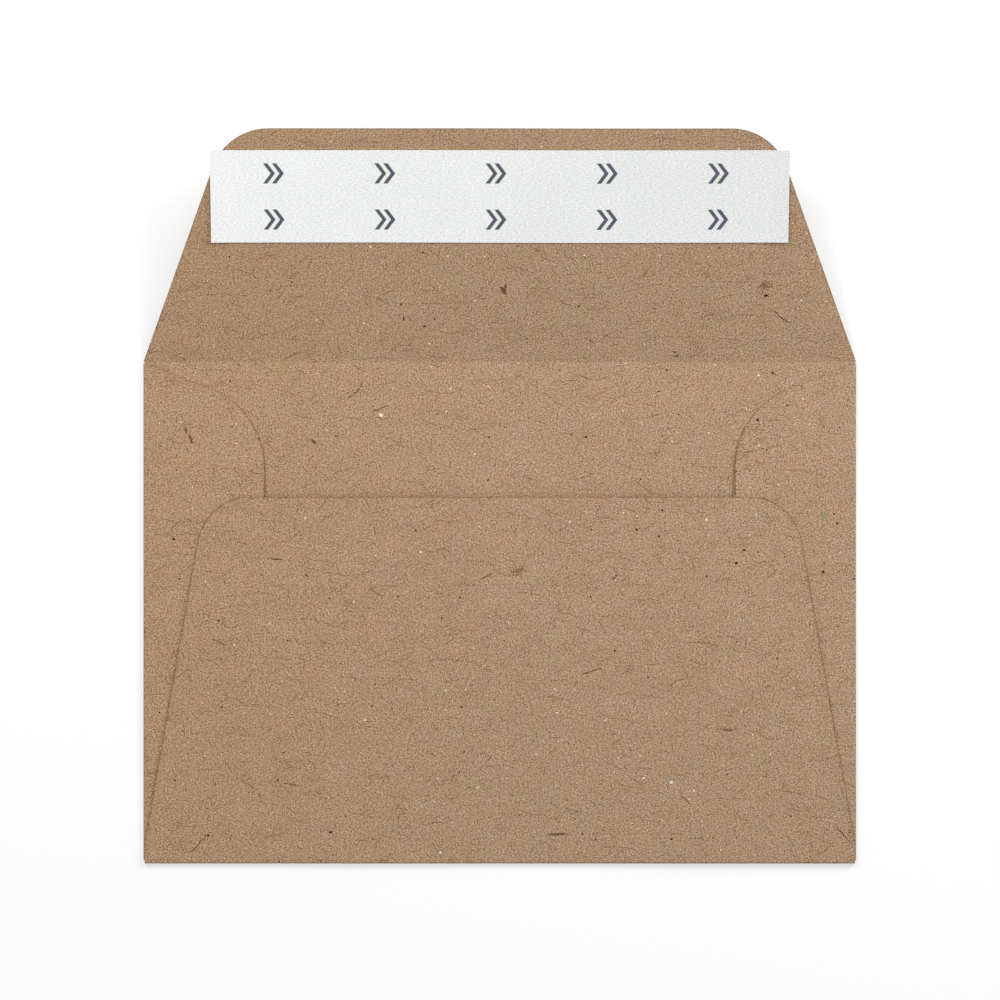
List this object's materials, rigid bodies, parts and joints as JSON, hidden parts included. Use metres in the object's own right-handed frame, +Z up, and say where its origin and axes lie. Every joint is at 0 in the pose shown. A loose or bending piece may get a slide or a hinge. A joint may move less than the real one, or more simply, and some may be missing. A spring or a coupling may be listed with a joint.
{
  "type": "paper envelope",
  "caption": "Pocket envelope folded from one sheet of kraft paper, its long-side flap open, with a peel-off liner over the seal adhesive.",
  "frame": {"origin": "centre of the front panel's outer face, which the envelope lies on", "axes": "+X along the long side, +Y towards the open top flap, +Z up through the plies, away from the face it lies on"},
  "size_m": [0.162, 0.1659, 0.0131],
  "materials": {
    "kraft_paper": "matte",
    "seam_glue": "matte",
    "seal_adhesive": "satin",
    "liner_paper": "satin"
  },
  "bodies": {
    "root": {"envelope_sheet": "kraft_paper", "seam_glue_left": "seam_glue", "seam_glue_right": "seam_glue", "seal_adhesive": "seal_adhesive", "release_liner": "liner_paper"}
  },
  "joints": []
}
